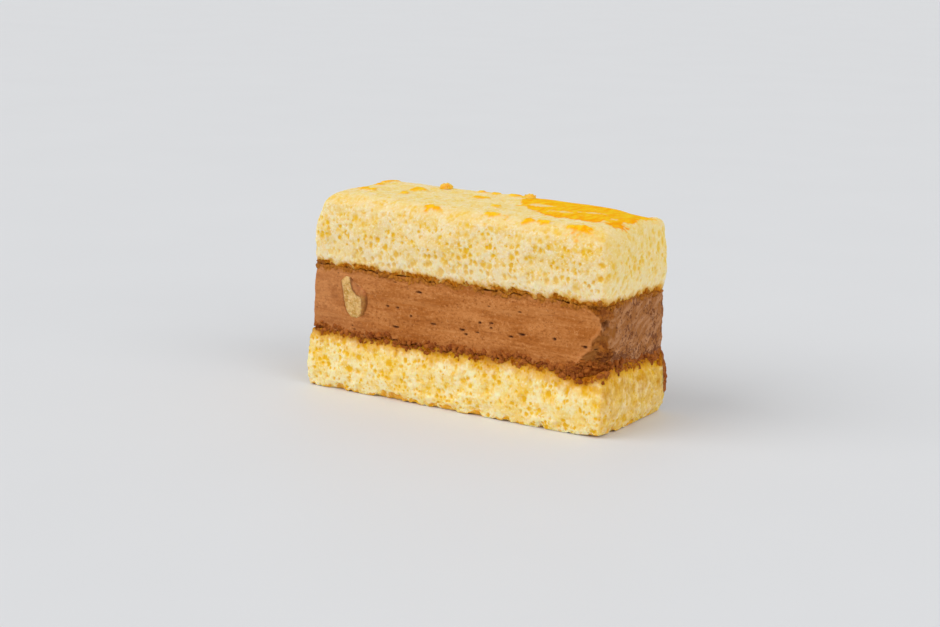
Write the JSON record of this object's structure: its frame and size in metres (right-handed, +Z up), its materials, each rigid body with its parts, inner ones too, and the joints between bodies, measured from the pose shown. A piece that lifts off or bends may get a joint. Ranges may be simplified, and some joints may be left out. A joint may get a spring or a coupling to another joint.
{
  "type": "cake sandwich",
  "caption": "Rectangular cut of sponge cake with a thick chocolate cream filling, a walnut piece showing in the cut face and flakes of golden crust on top.",
  "frame": {"origin": "under the middle of the cake, on the plane it rests on", "axes": "+X along the length towards the right end of the front cut face, +Y from the front cut face to the back, +Z up"},
  "size_m": [0.098, 0.038, 0.0571],
  "materials": {
    "sponge_lower": "open yellow crumb, matte",
    "cream_filling": "knife-cut chocolate cream, satin",
    "walnut_piece": "cut nut flesh, satin",
    "sponge_upper": "fine pale yellow crumb with golden crust flakes, matte"
  },
  "bodies": {
    "root": {"sponge_lower": "sponge_lower", "cream_filling": "cream_filling", "walnut_piece": "walnut_piece", "sponge_upper": "sponge_upper"}
  },
  "joints": []
}
